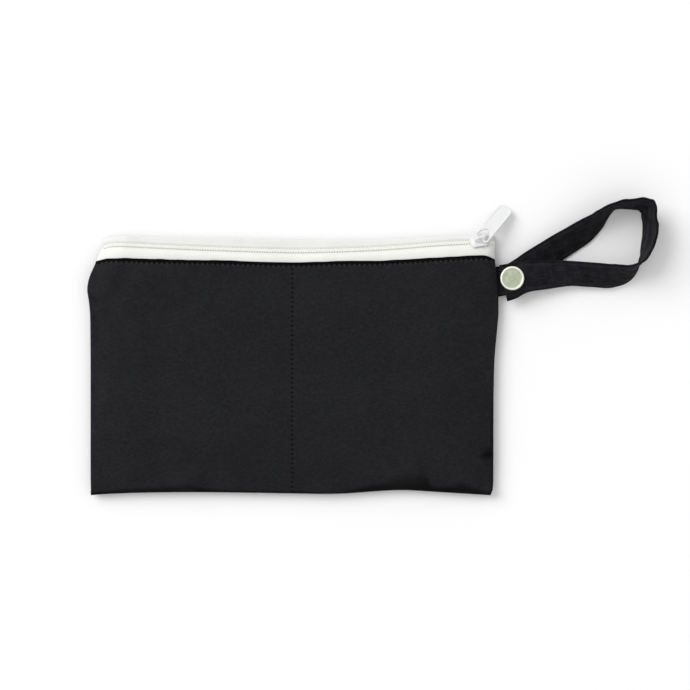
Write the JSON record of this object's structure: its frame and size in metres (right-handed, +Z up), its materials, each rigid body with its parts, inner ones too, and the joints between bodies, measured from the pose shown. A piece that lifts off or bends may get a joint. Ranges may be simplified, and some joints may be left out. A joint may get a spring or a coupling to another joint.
{
  "type": "reusable pad pouch",
  "caption": "Flat black cloth zip pouch lying on its back, with a white zip along its top edge and a wrist strap snapped into a twisted loop at its side.",
  "frame": {"origin": "on the table under the middle of the pouch, on the back panel's flat outer face", "axes": "+X along the zip towards the wrist strap, +Y across the pouch towards the zip, +Z up off the table"},
  "size_m": [0.2796, 0.1456, 0.0151],
  "materials": {
    "pouch_cloth": "matt black plain weave",
    "strap_cloth": "matt black plain weave, folded and edge stitched",
    "zip_tape": "white woven tape",
    "zip_coil": "white spun nylon coil",
    "zip_metal": "white lacquer",
    "snap_metal": "pale plated metal, fine satin"
  },
  "bodies": {
    "pouch": {"front_panel": "pouch_cloth", "back_panel": "pouch_cloth", "zipper_tape_front": "zip_tape", "zipper_tape_back": "zip_tape", "zipper_coil": "zip_coil", "zip_slider": "zip_metal", "wrist_strap": "strap_cloth", "snap_cap": "snap_metal", "snap_stud": "snap_metal"},
    "pull_tab": {"zip_pull": "zip_metal"}
  },
  "joints": [
    {"name": "pull_swing", "type": "hinge", "parent": "pouch", "child": "pull_tab", "pos_m": [0.0921, 0.06223, 0.00891], "axis": [0.7934, -0.5561, 0.2476], "range_deg": [0, 180]}
  ]
}
